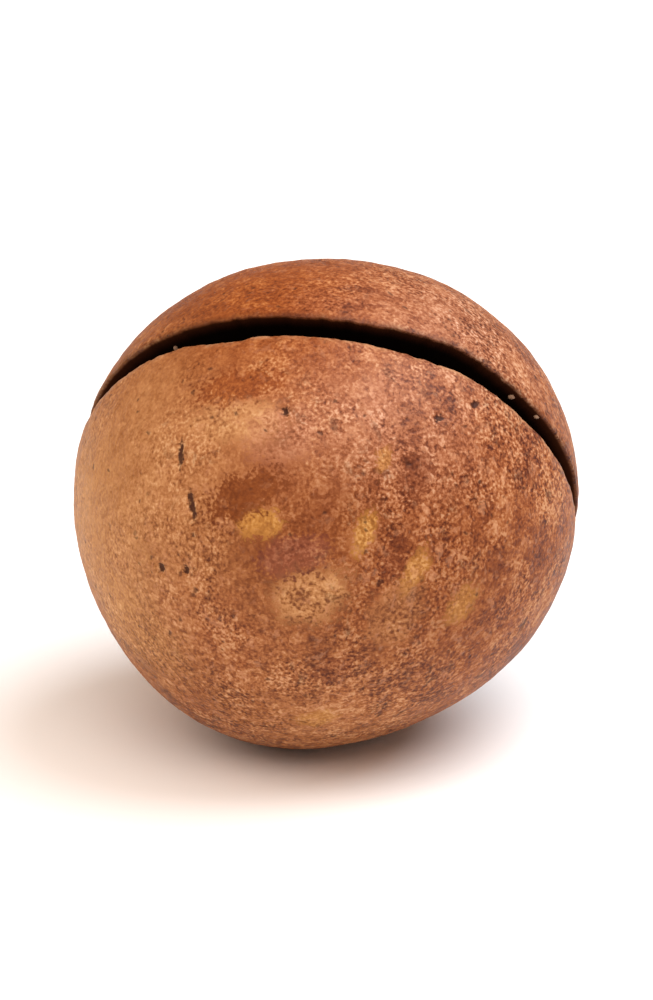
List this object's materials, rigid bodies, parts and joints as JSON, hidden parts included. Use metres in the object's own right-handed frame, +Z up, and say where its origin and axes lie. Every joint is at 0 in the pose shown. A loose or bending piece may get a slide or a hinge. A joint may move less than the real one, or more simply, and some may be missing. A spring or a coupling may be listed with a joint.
{
  "type": "macadamia nut in shell",
  "caption": "Round brown macadamia nut in its hard shell, with a narrow saw cut part of the way round for a key to twist it open, resting on a small flat spot.",
  "frame": {"origin": "on the small flat spot that the nut rests on, straight under the middle of its round form", "axes": "+Z up from the resting surface, -Y to the front, which shows most of the shell below the saw cut, +X to the right"},
  "size_m": [0.0252, 0.0248, 0.0243],
  "materials": {
    "shell": "satin woody shell, mottled tan to red brown"
  },
  "bodies": {
    "root": {"macadamia_nut": "shell"}
  },
  "joints": []
}
